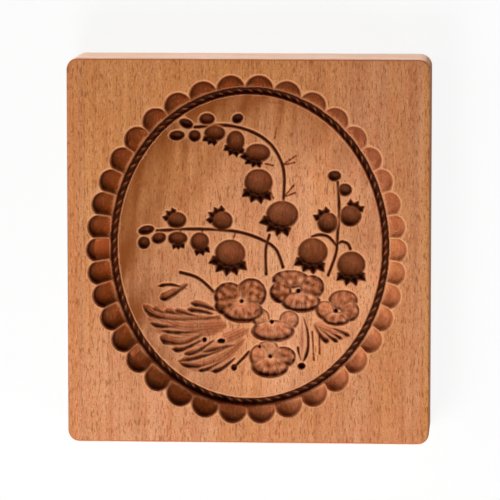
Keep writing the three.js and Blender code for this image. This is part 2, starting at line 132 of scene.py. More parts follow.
# The skin: how many triangles it keeps, the area in square millimetres of a broad one, the length of a long
# one, and the steps round the eased edges, up the sides and in toward the middle of the back
KEPT_TRIANGLES = 190000
BROAD_TRIANGLE = 0.1
LONG_TRIANGLE = 0.9
RIM_TURN_DEG = 10
EASE_STEPS = 4
SIDE_STEPS = 8
BACK_SHARES = [0.97, 0.8, 0.5, 0.2]

# How finely the way along the rope and the other lines is measured
ROPE_FIT_STEPS = 3
ROPE_SAMPLES = 4001
LEAST_LINE_POINTS = 8

# How much oil and dirt has darkened each kind of hollow, from 0 to 1; a thin whisker takes more to show
STAIN_SCALLOP_SIDES = 0.8
# Painted shade: scallops at the top and bottom of the border are darker than those at the sides
STAIN_AND_SHADE_SCALLOP_ENDS = 0.98
# Painted light: scallops on the right, whose walls face the light, are paler except in their middles
STAIN_SCALLOP_LIT = 0.08
STAIN_LIT_INSIDE = 0.46
LIT_SCALLOP_DEG = -12
LIT_SCALLOP_SPREAD = 0.6
# Painted highlight: the ledge beside the rope at the left and right keeps less stain
LEDGE_HIGHLIGHT = 0.8
LEDGE_HIGHLIGHT_WIDTH = 0.9
STAIN_ROPE = 0.8
STAIN_BELL = 0.85
STAIN_LOBE = 1.0
# Painted shade: a dark band along each bell's crown, its width and darkness
CROWN_BAND = 1.5
CROWN_SHADE = 1.0
# Painted shade along petal outlines: where the line lies in a petal, its darkness, and its share where it
# crosses a petal below
PETAL_LINE = 0.22
PETAL_LINE_SHADE = 1.4
INNER_LINE = 0.45
PETAL_BLOTCHES = 0.65
PETAL_BLOTCH_LENGTH = 2.0
PALE_RING_RADIUS = 1.5
PALE_RING_START = 0.4
STAIN_EYE = 1.0
STAIN_LEAF = 0.75
STAIN_STEM = 0.9
STAIN_WHISKER = 2.6

# The face is a little darker, and more toward the top, which is painted shade; the floor is darker toward
# the rope, most of all in one direction
FACE_DARKENING = 0.27
FACE_DARKENING_TOP = 0.3
DARKENING_DARKEST_DEG = 145
DARKENING_EVEN_SHARE = 0.14
DARKENING_STREAKS = 0.25
DARKENING_STREAK_WIDTH = 2.4
DARKENING_STREAK_STRETCH = 6
DARKENING_STRENGTH = 0.88
DARKENING_NARROWNESS = 3.5
DARKENING_SPREAD = 0.8

# Soft spots on the floor, darker or, below 0, paler: x, y, reach and strength. The first, by the rope on the
# right, is painted shade.
FLOOR_SPOTS = [
    (27.5, 2.5, 5.5, 0.28),
    (-27.0, -14.0, 6.0, 0.12),
    (-8.0, 35.0, 5.0, 0.1),
    (15.0, 12.0, 9.0, -0.25),
    (2.0, -35.0, 8.0, -0.2),
    (22.0, -25.0, 7.0, -0.1),
    (-20.0, 20.0, 6.0, -0.07),
]

# Round bells; size is width and height, mouth is the direction of the pointed crown in degrees
BELLS = [
    dict(at=(-8.6, 29.1), size=(5.4, 4.0), mouth=-120, lobes=3),
    dict(at=(-3.4, 27.1), size=(4.7, 5.4), mouth=-100, lobes=4),
    dict(at=(2.1, 24.2), size=(6.4, 4.7), mouth=-125, lobes=4),
    dict(at=(2.3, 16.8), size=(7.2, 6.9), mouth=-97, lobes=4),
    dict(at=(8.2, 8.8), size=(8.2, 7.0), mouth=-118, lobes=4),
    dict(at=(-18.1, 7.3), size=(5.0, 4.2), mouth=140, lobes=3),
    dict(at=(-6.8, 7.2), size=(5.4, 5.0), mouth=135, lobes=4),
    dict(at=(-17.9, 2.7), size=(5.0, 3.5), mouth=-85, lobes=3),
    dict(at=(-12.4, 1.9), size=(4.8, 4.8), mouth=-75, lobes=3),
    dict(at=(-4.8, -1.1), size=(7.8, 7.2), mouth=-100, lobes=5),
    dict(at=(25.2, 8.7), size=(5.6, 5.4), mouth=62, lobes=3),
    dict(at=(19.5, 6.9), size=(5.3, 5.3), mouth=125, lobes=3),
    dict(at=(15.8, -0.5), size=(7.6, 7.2), mouth=-102, lobes=4),
    dict(at=(25.4, -3.6), size=(7.2, 6.8), mouth=-90, lobes=4),
]

# Buds: place, size and turn in degrees
BUDS = [
    ((-15.7, 31.5), (3.7, 2.3), -20),
    ((-18.0, 28.5), (4.0, 2.5), 5),
    ((-13.6, 28.4), (3.2, 3.0), 0),
    ((-10.5, 32.6), (4.0, 3.0), 0),
    ((-2.9, 32.8), (3.0, 2.4), 20),
    ((-25.7, 4.8), (4.2, 2.3), 12),
    ((-26.3, 1.6), (3.2, 3.2), 0),
    ((-22.6, 2.8), (3.8, 2.9), 15),
    ((21.2, 18.6), (3.5, 2.7), 0),
    ((23.8, 15.2), (3.7, 3.2), -10),
]

STEMS = [
    [(-13.5, 30.6), (-5.8, 31.1), (0.9, 29.4), (5.3, 26.4), (7.9, 22.2), (8.7, 18.0), (8.4, 11.2)],
    [(5.0, 3.7), (4.1, 0.0), (4.2, -6.1)],
    [(-23.1, 4.6), (-15.3, 5.1), (-7.5, 4.9), (-2.1, 4.3), (3.4, 2.4), (6.7, 0.0), (8.4, -4.3)],
    [(22.0, 17.1), (22.4, 9.8), (22.0, 3.9), (21.6, -0.7), (19.7, -6.2)],
    [(21.8, 1.2), (19.7, 3.4), (17.6, 3.9), (15.6, 3.3)],
    [(21.9, 1.6), (23.1, 2.2), (24.5, 1.7), (25.2, 0.4)],
    [(-17.2, -5.8), (-12.8, -7.2), (-8.9, -10.6)],
    [(-0.1, -25.7), (-1.4, -27.1), (-3.5, -29.3)],
]

WHISKERS = [
    [(6.8, 30.4), (6.3, 27.8)],
    [(8.6, 21.5), (11.6, 23.5)],
    [(8.8, 21.3), (11.4, 21.9)],
    [(8.8, 13.5), (11.0, 16.1)],
    [(8.8, 13.3), (11.4, 14.3)],
    [(3.9, 21.5), (5.9, 21.1)],
    [(5.3, 15.0), (6.0, 12.8)],
    [(15.7, -20.4), (16.2, -27.6)],
    [(17.5, -21.4), (17.6, -26.0)],
    [(-3.4, 4.5), (-4.2, 2.1)],
    [(-17.2, 4.8), (-16.8, 2.8)],
    [(-11.6, 5.0), (-12.1, 3.3)],
]

# Pansies: a small deep eye and its petals, the lowest first; size is a petal's width across and height along
PANSIES = [
    dict(eye=(-2.0, -13.1), petals=[
        dict(at=(0.4, -11.1), size=(7.7, 7.7), depth=1.2, stain=0.66),
        dict(at=(-5.0, -11.7), size=(7.6, 6.8), depth=1.4, stain=0.78),
        dict(at=(-6.0, -14.2), size=(5.2, 4.2), depth=1.6, stain=0.95),
        dict(at=(-1.6, -15.5), size=(10.4, 5.6), depth=1.7, stain=0.52),
    ]),
    dict(eye=(12.2, -10.3), petals=[
        dict(at=(10.4, -7.4), size=(9.4, 4.5), depth=1.1, stain=0.58),
        dict(at=(15.6, -9.3), size=(6.2, 5.9), depth=1.6, stain=0.62),
        dict(at=(7.9, -10.6), size=(5.5, 5.4), depth=1.5, stain=0.9),
        dict(at=(12.9, -13.0), size=(9.9, 5.1), depth=1.6, stain=0.53),
    ]),
    dict(eye=(21.6, -15.2), petals=[
        dict(at=(23.4, -12.5), size=(7.4, 5.0), depth=1.2, stain=0.38),
        dict(at=(25.1, -15.2), size=(4.6, 5.0), depth=1.5, stain=0.43),
        dict(at=(18.9, -15.0), size=(4.6, 4.5), depth=1.5, stain=0.22),
        dict(at=(21.8, -17.1), size=(6.9, 3.4), depth=1.4, stain=0.48),
    ]),
    dict(eye=(5.6, -18.2), petals=[
        dict(at=(2.9, -17.1), size=(4.5, 4.5), depth=1.1, stain=0.15),
        dict(at=(9.9, -17.6), size=(5.0, 4.7), depth=1.2, stain=0.22),
        dict(at=(5.9, -20.3), size=(10.9, 5.4), depth=1.5, stain=0.4),
    ]),
    dict(eye=(5.2, -26.9), petals=[
        dict(at=(4.7, -24.7), size=(5.4, 3.6), depth=1.0, stain=0.12),
        dict(at=(8.5, -26.9), size=(6.2, 5.2), depth=1.5, stain=0.6),
        dict(at=(2.5, -26.8), size=(4.8, 5.9), depth=1.4, stain=0.25),
        dict(at=(5.2, -29.3), size=(9.4, 5.4), depth=1.7, stain=0.55),
    ]),
]

# The shallow hollows of the leaves, which the leaf cuts then run into
LEAF_BEDS = [
    dict(path=[(-25.8, -14.4), (-17.8, -19.3), (-5.3, -19.0)], width=9.9, depth=0.8, stain=0.58),
    dict(path=[(-17.9, -28.7), (-9.3, -28.6), (-0.8, -22.2)], width=5.0, depth=0.7, stain=0.58),
    dict(path=[(15.9, -18.5), (20.2, -20.3), (25.4, -21.2)], width=5.4, depth=0.9, stain=0.35),
    dict(path=[(13.2, -16.5), (13.3, -22.6), (13.3, -28.1)], width=2.2, depth=0.5, stain=0.2),
]

# Faint scraped hollows among the leaves, which the solid leaves out
FAINT_BEDS = [
    dict(path=[(-8.2, -23.6), (-4.2, -21.9), (0.2, -19.8)], width=4.4, depth=0.5, stain=0.5),
    dict(path=[(-16.5, -24.2), (-10.5, -24.0), (-3.0, -24.2)], width=3.2, depth=0.3, stain=0.42),
]

# Leaves, sepals and the long bud: a cut's width, and its path from its blunt tip
LEAF_CUTS = [
    (3.7, [(-26.7, -13.7), (-24.3, -15.7), (-20.3, -16.9), (-14.3, -17.2), (-6.8, -17.1)]),
    (2.0, [(-24.6, -14.7), (-22.1, -15.6), (-18.3, -17.1)]),
    (2.0, [(-21.8, -15.5), (-19.1, -15.8), (-15.3, -17.0)]),
    (2.0, [(-19.1, -15.3), (-16.3, -15.8), (-12.3, -17.0)]),
    (2.0, [(-15.8, -15.1), (-12.6, -15.2), (-8.8, -16.2)]),
    (2.2, [(-14.9, -13.4), (-11.6, -13.9), (-7.8, -15.3)]),
    (0.7, [(-11.6, -17.5), (-9.3, -17.0), (-6.8, -16.5)]),
    (0.6, [(-15.1, -18.2), (-11.3, -18.6), (-6.8, -18.0)]),
    (2.2, [(-24.9, -18.4), (-22.3, -19.0), (-18.3, -19.2), (-13.3, -18.4)]),
    (2.0, [(-22.2, -20.2), (-19.3, -20.6), (-14.8, -20.6), (-7.8, -19.5)]),
    (3.7, [(-22.5, -21.8), (-20.4, -22.5), (-16.3, -23.0), (-10.8, -20.4)]),
    (0.6, [(-20.9, -22.0), (-16.8, -22.2), (-11.8, -21.7)]),
    (2.2, [(-19.6, -25.0), (-16.3, -24.7), (-11.3, -22.4)]),
    (2.2, [(-16.5, -26.2), (-13.3, -25.5), (-8.6, -22.6)]),
    (2.2, [(-18.1, -28.2), (-14.3, -27.2), (-10.3, -26.2), (-3.8, -23.9)]),
    (2.2, [(-12.1, -25.8), (-8.1, -24.7), (-3.3, -23.9)]),
    (2.5, [(-17.7, -28.4), (-14.6, -28.9), (-11.3, -28.8), (-5.8, -26.5)]),
    (2.0, [(-13.0, -30.4), (-10.1, -29.6), (-5.8, -27.3)]),
    (2.0, [(-9.7, -30.6), (-6.8, -29.6), (-3.3, -27.0)]),
    (2.2, [(20.2, -22.9), (18.4, -21.7), (16.4, -18.7)]),
    (1.7, [(22.4, -22.9), (20.4, -21.6), (17.4, -19.2)]),
    (1.5, [(23.6, -22.2), (21.4, -21.0), (18.2, -19.3)]),
    (1.7, [(25.4, -21.5), (22.6, -20.1), (18.9, -18.9)]),
    (3.2, [(-22.6, -12.3), (-19.8, -11.2), (-15.3, -8.6)]),
    (1.2, [(-23.1, -9.3), (-19.6, -8.8), (-15.3, -10.0)]),
    (1.2, [(13.2, -28.6), (14.5, -25.1), (14.5, -20.6), (13.4, -16.5)]),
    (0.9, [(12.2, -23.9), (12.4, -25.6), (13.1, -27.9)]),
]

# Small dark pits: place, size and depth
PITS = [
    ((2.5, -24.5), (0.9, 0.9), 2.2),
    ((-11.2, -22.7), (1.1, 1.1), 2.2),
    ((-7.0, -23.0), (2.0, 1.1), 2.2),
    ((-3.8, -29.6), (1.6, 1.8), 1.3),
    ((13.1, -29.1), (2.0, 1.6), 2.2),
]

# A square, in millimetres, that the surface is laid flat on for textures. For each part of the surface: the
# way it faces, the board's directions that run right and up on the square, its lowest left corner there and
# its scale. The carved face comes first.
TEXTURE_SQUARE = 132.0
TEXTURE_PARTS = [
    dict(out=(0, 0, 1), right=(1, 0, 0), up=(0, 1, 0), corner=(1.0, 1.0), scale=1.0),
    dict(out=(0, 0, -1), right=(-1, 0, 0), up=(0, 1, 0), corner=(1.0, 98.2), scale=0.34),
    dict(out=(1, 0, 0), right=(0, 0, 1), up=(0, -1, 0), corner=(93.0, 1.0), scale=0.9),
    dict(out=(-1, 0, 0), right=(0, 0, 1), up=(0, 1, 0), corner=(112.5, 1.0), scale=0.9),
    dict(out=(0, 1, 0), right=(-1, 0, 0), up=(0, 0, 1), corner=(33.0, 98.2), scale=0.8),
    dict(out=(0, -1, 0), right=(1, 0, 0), up=(0, 0, 1), corner=(33.0, 115.4), scale=0.8),
]

# Patterns in the wood: their features' size in x, y and z in millimetres, detail and roughness
PATTERNS = dict(
    broad=((14, 90, 14), 2, 0.5),
    streaks=((1.3, 26, 1.3), 4, 0.6),
    flecks=((0.4, 2.0, 0.9), 1, 0.5),
    glints=((0.45, 1.4, 0.7), 1, 0.5),
    pores=((0.16, 1.0, 0.16), 1, 0.5),
    grit=((0.3, 0.45, 0.3), 2, 0.5),
    blotches=((1.1, 1.6, 1.1), 3, 0.6),
    warmth=((3, 6, 3), 3, 0.5),
    bands=((2.6, 120, 2.6), 3, 0.6),
    rings=((16, 40, 0.8), 3, 0.6),
)

# The wood's colours, red, green and blue from 0 to 255: a plain one and the layers over it, the lowest first.
# A layer: what it follows (a pattern, a value of the surface or a place in millimetres), from where to where
# it grows to full (None is from 0 to 1), its strength and its colour.
BARE_WOOD = (228, 155, 101)
BARE_LAYERS = [
    ("broad", (0.3, 0.7), 1.0, (240, 177, 134)),
    ("warmth", (0.4, 0.65), 0.35, (230, 140, 100)),
    ("bands", (0.5, 0.66), 0.35, (206, 146, 112)),
    ("up_left", (0, 60), 0.4, (233, 157, 66)),
    ("across", (42.6, 43.6), 0.5, (228, 156, 76)),
    ("leftward", (40.8, 41.6), 0.35, (196, 140, 112)),
    ("leftward", (41.8, 42.6), 0.6, (236, 150, 90)),
    ("streaks", (0.35, 0.7), 0.5, (190, 112, 62)),
    ("glints", (0.56, 0.7), 0.4, (242, 184, 140)),
    ("grit", (0.52, 0.72), 0.5, (150, 82, 42)),
    ("flecks", (0.56, 0.7), 0.6, (142, 74, 36)),
    ("pores", (0.58, 0.75), 0.4, (138, 76, 40)),
    # Darker where the darkening is above 0 and paler below it, with painted shade toward the top of the face
    # and by the rope on the right
    ("patina", None, 0.95, (132, 64, 10)),
    ("patina", None, -1.0, (240, 190, 146)),
]
OILED_WOOD = (104, 52, 10)
OILED_LAYERS = [
    ("blotches", (0.35, 0.65), 1.0, (134, 52, 10)),
    ("glints", (0.5, 0.75), 0.45, (170, 92, 36)),
    ("grit", (0.5, 0.75), 0.5, (76, 28, 4)),
]
# Reddish where half stained; rims paler from wear and a painted highlight; painted shade in creases and along
# petal outlines and crowns; a reddish line round each end's edge
USE_LAYERS = [
    ("half_stained", None, 1.3, (196, 60, 14)),
    ("wear", None, 0.5, (236, 174, 126)),
    ("crease", None, 0.88, (44, 14, 4)),
    ("end_edge", None, 0.7, (172, 84, 52)),
]
# Pale raw end grain on the ends, painted paler still as if lit
RAW_LIT_WOOD = (252, 216, 194)
RAW_LIT_LAYERS = [
    ("rings", (0.35, 0.7), 1.0, (242, 194, 166)),
    ("pores", (0.55, 0.75), 0.4, (204, 146, 112)),
    ("broad", (0.4, 0.7), 0.3, (236, 184, 146)),
]
RAW_LIT_BETWEEN = (0.5, 0.8)
# Painted shade on the long sides
FLANK_SHADE_LAYERS = [("flank", (0.5, 0.95), 0.6, (132, 78, 44))]

# The wood's fine relief, its height in metres, and gloss
SPECK_RELIEF = -0.5
RELIEF_STRENGTH = 0.5
RELIEF_HEIGHT = 0.00012
LEAST_ROUGHNESS = 0.5
STREAK_ROUGHNESS = 0.25
SPECULAR_LEVEL = 0.1

# The pale floor in metres, and how much of what the camera sees of it is plain white; the rest has shadow
FLOOR_WHITENESS = 0.9
FLOOR_PALENESS = 0.92
FLOOR_REACH = 1.5
FLOOR_DROP = 0.0002

# Soft square lamps that face the board: name, direction round it and height in degrees, power in watts, and
# side and distance in metres
LAMPS = [
    ("high_below", 243, 60, 1.3, 0.16, 0.4),
    ("right_below", 325, 32, 2.7, 0.35, 0.9),
    ("low_left", 172, 13, 3.3, 0.35, 0.9),
    ("top_side", 95, 1, 0.5, 0.03, 0.3),
]
WORLD_LIGHT = 0.02

# The photograph's viewpoint: almost straight down, a little from the right and from the picture's top. It
# aims at a place on the face; the distance and far end are in metres, the rest in millimetres.
CAMERA_RIGHT_DEG = 3.55
CAMERA_UP_DEG = 6.63
CAMERA_AIM = (0.49, 0.50)
CAMERA_DISTANCE = 1.0
SENSOR_WIDTH = 36
LENS_LENGTH = 290.7
CAMERA_FAR_END = 10


# A place as shares of the way out to the rope, across the board and along it
def oval_place(x, y):
    return (x - OVAL_CENTRE[0]) / ROPE_HALF_WIDTH_X, (y - OVAL_CENTRE[1]) / ROPE_HALF_LENGTH_Y


# Height of the dished floor at a place on the board
def floor_z(x, y):
    outward = np.minimum(1, np.hypot(*oval_place(x, y)))
    return FACE_Z - FLOOR_MIDDLE_DEPTH + (FLOOR_MIDDLE_DEPTH - FLOOR_EDGE_DEPTH) * outward**2


def ellipse_reach(half_x, half_y, angle):
    return 1 / math.hypot(math.cos(angle) / half_x, math.sin(angle) / half_y)


def place_round(centre, reach, angle):
    return centre[0] + reach * math.cos(angle), centre[1] + reach * math.sin(angle)


# Gentle unevenness, mostly between -1 and 1, made of crossing waves
def unevenness(x, y, wavelength, seed):
    draw = np.random.default_rng(seed)
    total = np.zeros_like(x)
    for _ in range(WAVE_COUNT):
        heading = draw.uniform(0, 2 * math.pi)
        pace = 2 * math.pi / (wavelength * draw.uniform(*WAVE_LENGTH_SPREAD))
        start = draw.uniform(0, 2 * math.pi)
        total += np.sin(pace * (x * math.cos(heading) + y * math.sin(heading)) + start)
    return total / math.sqrt(WAVE_COUNT)


# Values over the grid smoothed with a bell curve of that width in millimetres
def blurred(values, width):
    steps = max(1, round(BLUR_REACH * width / GRID_STEP))
    weights = np.exp(-0.5 * (np.arange(-steps, steps + 1) * GRID_STEP / width) ** 2)
    weights /= weights.sum()
    for axis in (0, 1):
        size = values.shape[axis]
        margins = [(0, 0), (0, 0)]
        margins[axis] = (steps, steps)
        padded = np.pad(values, margins, mode="edge")
        values = sum(w * np.take(padded, range(k, k + size), axis) for k, w in enumerate(weights))
    return values


# Heights and stains of the face over a fine grid, whose corners follow the board's round corners
class Face:
    def __init__(self):
        half_x = BOARD_WIDTH / 2 - EDGE_EASE
        half_y = BOARD_LENGTH / 2 - EDGE_EASE
        self.columns = np.linspace(-half_x, half_x, round(2 * half_x / GRID_STEP) + 1)
        self.rows = np.linspace(-half_y, half_y, round(2 * half_y / GRID_STEP) + 1)
        square_x, square_y = np.meshgrid(self.columns, self.rows)
        radius = CORNER_RADIUS - EDGE_EASE
        u = np.clip((np.abs(square_x) - half_x + radius) / radius, 0, 1)
        v = np.clip((np.abs(square_y) - half_y + radius) / radius, 0, 1)
        self.x = square_x - np.sign(square_x) * radius * u * (1 - np.sqrt(1 - v**2 / 2))
        self.y = square_y - np.sign(square_y) * radius * v * (1 - np.sqrt(1 - u**2 / 2))
        self.height = np.full_like(self.x, FACE_Z)
        self.stain = np.zeros_like(self.x)
        self.line_shade = np.zeros_like(self.x)

    # The rows and columns of the grid between two corners
    def part(self, low, high):
        rows = slice(*np.searchsorted(self.rows, (low[1], high[1])))
        return rows, slice(*np.searchsorted(self.columns, (low[0], high[0])))

    # Takes wood away between two corners; shape(x, y) is the height left, and infinity where it cuts nothing.
    # The stain is one value or a function of the place too.
    def cut(self, low, high, shape, stain):
        here = self.part(low, high)
        x, y = self.x[here], self.y[here]
        left = shape(x, y)
        is_cut = left < self.height[here]
        new_stain = stain(x, y) if callable(stain) else stain
        self.height[here] = np.where(is_cut, left, self.height[here])
        self.stain[here] = np.where(is_cut, new_stain, self.stain[here])

    def cut_round(self, at, reach, shape, stain):
        self.cut(np.subtract(at, reach), np.add(at, reach), shape, stain)

    # Paints shade where the given function is above 0, and cuts nothing
    def paint_shade(self, at, reach, line_shade):
        here = self.part(np.subtract(at, reach), np.add(at, reach))
        self.line_shade[here] = np.maximum(self.line_shade[here], line_shade(self.x[here], self.y[here]))


# The sunk oval out to the rope's centre line, with the slight waves of hand work
def cut_floor(face):
    def shape(x, y):
        waves = FLOOR_UNEVENNESS * unevenness(x, y, FLOOR_WAVE_LENGTH, seed=4)
        return np.where(np.hypot(*oval_place(x, y)) < 1, floor_z(x, y) + waves, np.inf)
    face.cut_round(OVAL_CENTRE, ROPE_HALF_LENGTH_Y + GRID_STEP, shape, 0.0)


def scallop_angle(index):
    even = math.radians(SCALLOP_PHASE_DEG + 360 * index / SCALLOP_COUNT)
    return even - math.radians(SCALLOP_CROWDING_DEG) * math.sin(2 * even)


# One gouge cut of the border: a round-ended trough from the face down to the rope
def cut_scallop(face, angle, width_angle):
    outer = ellipse_reach(SCALLOP_OUTER_X, SCALLOP_OUTER_Y, angle)
    inner = ellipse_reach(ROPE_HALF_WIDTH_X, ROPE_HALF_LENGTH_Y, angle)
    inner += turned(*OVAL_CENTRE, SCALLOP_CENTRE, angle)[0]
    radius = SCALLOP_WIDTH_TO_PITCH * outer * width_angle / (2 + SCALLOP_WIDTH_TO_PITCH * width_angle)
    start, start_z = outer - radius, FACE_Z - SCALLOP_OUTER_DEPTH + radius
    slope = math.atan(SCALLOP_FALL)

    def shape(x, y):
        out, side = turned(x, y, SCALLOP_CENTRE, angle)
        chord = np.sqrt(np.maximum(0, radius**2 - side**2))
        ball = start_z - np.sqrt(np.maximum(0, chord**2 - (out - start) ** 2))
        trough = start_z - (start - out) * SCALLOP_FALL - chord / math.cos(slope)
        left = np.where(out > start + chord * math.sin(slope), ball, trough)
        is_inside = (np.abs(side) < radius) & (out < start + chord) & (out > inner - ROPE_HOLLOW_RADIUS)
        return np.where(is_inside, left, np.inf)

    # Painted light and shade: scallops on the right, facing the light, are paler, and those at the top and
    # bottom darker
    lit_share = max(0, math.cos(angle - math.radians(LIT_SCALLOP_DEG))) ** LIT_SCALLOP_SPREAD
    darkest = STAIN_SCALLOP_SIDES + (STAIN_AND_SHADE_SCALLOP_ENDS - STAIN_SCALLOP_SIDES) * math.sin(angle) ** 2
    darkest += (STAIN_SCALLOP_LIT - darkest) * lit_share

    def stain(x, y):
        out, side = turned(x, y, SCALLOP_CENTRE, angle)
        inside = np.clip(1 - np.hypot(out - start, side) / radius, 0, 1)
        # Painted highlight: the ledge beside the rope at the left and right takes less stain
        on_lit_ledge = np.clip(1 - (out - inner - ROPE_HOLLOW_RADIUS) / LEDGE_HIGHLIGHT_WIDTH, 0, 1)
        bare = darkest + STAIN_LIT_INSIDE * lit_share * inside
        return bare * (1 - LEDGE_HIGHLIGHT * math.cos(angle) ** 2 * on_lit_ledge)

    face.cut_round(place_round(SCALLOP_CENTRE, inner, angle), outer - inner + radius, shape, stain)


def cut_border(face):
    for i in range(SCALLOP_COUNT):
        width_angle = (scallop_angle(i + 1) - scallop_angle(i - 1)) / 2
        cut_scallop(face, scallop_angle(i), width_angle)


# For places near the rope: the share of the way round its centre line, and the distance outside it
def rope_place(x, y):
    half_x, half_y = ROPE_HALF_WIDTH_X, ROPE_HALF_LENGTH_Y
    away_x, away_y = x - OVAL_CENTRE[0], y - OVAL_CENTRE[1]
    angle = np.arctan2(away_y / half_y, away_x / half_x)
    for _ in range(ROPE_FIT_STEPS):
        line_x, line_y = half_x * np.cos(angle), half_y * np.sin(angle)
        run_x, run_y = -half_x * np.sin(angle), half_y * np.cos(angle)
        slip = (line_x - away_x) * run_x + (line_y - away_y) * run_y
        bend = run_x**2 + run_y**2 - (line_x - away_x) * line_x - (line_y - away_y) * line_y
        angle = angle - slip / np.maximum(bend, 1)
    line_x, line_y = half_x * np.cos(angle), half_y * np.sin(angle)
    out_x, out_y = half_y * np.cos(angle), half_x * np.sin(angle)
    outside = ((away_x - line_x) * out_x + (away_y - line_y) * out_y) / np.hypot(out_x, out_y)
    turns = np.linspace(0, 2 * math.pi, ROPE_SAMPLES)
    pieces = np.hypot(np.diff(half_x * np.cos(turns)), np.diff(half_y * np.sin(turns)))
    lengths = np.concatenate([[0], np.cumsum(pieces)])
    share = np.interp(angle % (2 * math.pi), turns, lengths / lengths[-1])
    return share, outside


# The rope: a deep groove whose bottom is cut into slanted strands with sharp ridges between them
def cut_rope(face):
    def shape(x, y):
        share, outside = rope_place(x, y)
        lean = np.arcsin(np.clip(outside / ROPE_HOLLOW_RADIUS, -1, 1)) / math.pi
        strand = share * ROPE_STRAND_COUNT - lean * ROPE_TWIST_ACROSS
        hollow = np.abs(np.cos(math.pi * strand)) ** STRAND_FULLNESS
        radius = ROPE_RIDGE_RADIUS + (ROPE_HOLLOW_RADIUS - ROPE_RIDGE_RADIUS) * hollow
        roundness = np.sqrt(np.maximum(0, 1 - (outside / ROPE_HOLLOW_RADIUS) ** 2))
        bottom = FACE_Z - ROPE_BOTTOM_DEPTH + ROPE_HOLLOW_RADIUS - radius * roundness
        return np.where(np.abs(outside) < ROPE_HOLLOW_RADIUS, bottom, np.inf)
    face.cut_round(OVAL_CENTRE, ROPE_HALF_LENGTH_Y + ROPE_HOLLOW_RADIUS + GRID_STEP, shape, STAIN_ROPE)


# Distances from a place along and across a direction
def turned(x, y, at, turn):
    along = (x - at[0]) * math.cos(turn) + (y - at[1]) * math.sin(turn)
    across = (y - at[1]) * math.cos(turn) - (x - at[0]) * math.sin(turn)
    return along, across


# A round or oval hollow in the floor: the lower part of an ellipsoid
def cut_hollow(face, at, size, depth, stain, turn=0.0):
    top = float(floor_z(*at)) + RIM_LIFT

    def shape(x, y):
        along, across = turned(x, y, at, turn)
        room = 1 - (2 * along / size[0]) ** 2 - (2 * across / size[1]) ** 2
        return np.where(room > 0, top - (depth + RIM_LIFT) * np.sqrt(np.maximum(0, room)), np.inf)
    face.cut_round(at, max(size) / 2 + GRID_STEP, shape, stain)


# Room inside a petal's outline: 1 at its middle, 0 on the outline and less beyond it
def petal_room(x, y, at, size):
    return 1 - (2 * (x - at[0]) / size[0]) ** 2 - (2 * (y - at[1]) / size[1]) ** 2


# A petal: a flat-bottomed pan with steep walls, deeper at its outer rim than at the eye
def cut_petal(face, at, size, depth, stain, eye):
    turn = math.atan2(at[1] - eye[1], at[0] - eye[0])
    fall = math.tan(math.radians(PETAL_TILT_DEG))
    top = float(floor_z(*at))

    def shape(x, y):
        outward, _ = turned(x, y, at, turn)
        room = petal_room(x, y, at, size)
        left = top - outward * fall - depth * np.maximum(0, room) ** PAN_STEEPNESS - petal_veins(x, y, eye)
        return np.where(room > 0, left, np.inf)

    def blotched(x, y):
        beyond_ring = np.clip(np.hypot(x - eye[0], y - eye[1]) / PALE_RING_RADIUS - PALE_RING_START, 0, 1)
        blotches = 1 + PETAL_BLOTCHES * unevenness(x, y, PETAL_BLOTCH_LENGTH, seed=21)
        return np.clip(stain * blotches * beyond_ring, 0, 1)

    face.cut_round(at, max(size) / 2 + GRID_STEP, shape, blotched)


# The line of painted shade inside a petal's outline: hidden by petals over it, and faint on those it lies over
def shaded_outline(face, petal, petals_under, petals_over):
    def line_shade(x, y):
        off_line = np.abs(petal_room(x, y, petal["at"], petal["size"]) / PETAL_LINE - 1)
        line = np.clip(PETAL_LINE_SHADE * (1 - off_line), 0, 1)
        for other in petals_under:
            line = np.where(petal_room(x, y, other["at"], other["size"]) > 0, INNER_LINE * line, line)
        for other in petals_over:
            line = np.where(petal_room(x, y, other["at"], other["size"]) > 0, 0, line)
        return line
    face.paint_shade(petal["at"], max(petal["size"]) / 2, line_shade)


# Fine lines that spread from a pansy's eye over its petals
def petal_veins(x, y, eye):
    angle = np.arctan2(y - eye[1], x - eye[0])
    distance = np.hypot(x - eye[0], y - eye[1])
    wander = PETAL_VEIN_WANDER * np.sin(PETAL_VEIN_BENDS * angle + PETAL_VEIN_CURL * distance)
    line = np.maximum(0, np.cos(PETAL_VEINS * angle + wander)) ** PETAL_VEIN_THINNESS
    return PETAL_VEIN_DEPTH * line * np.clip(distance / PETAL_VEIN_FULL_AT, 0, 1)


# Points along a Catmull-Rom line through the path's points, as in the CAD source
def bent_line(path, count):
    points = np.array(path, float)
    points = np.vstack([points[:1], points, points[-1:]])
    place = np.linspace(0, 1, count) * (len(path) - 1)
    first = np.minimum(place.astype(int), len(path) - 2)
    u = (place - first)[:, None]
    p0, p1, p2, p3 = (points[first + k] for k in range(4))
    v0, v1 = (p2 - p0) / 2, (p3 - p1) / 2
    return (2 * p1 - 2 * p2 + v0 + v1) * u**3 + (-3 * p1 + 3 * p2 - 2 * v0 - v1) * u**2 + v0 * u + p1


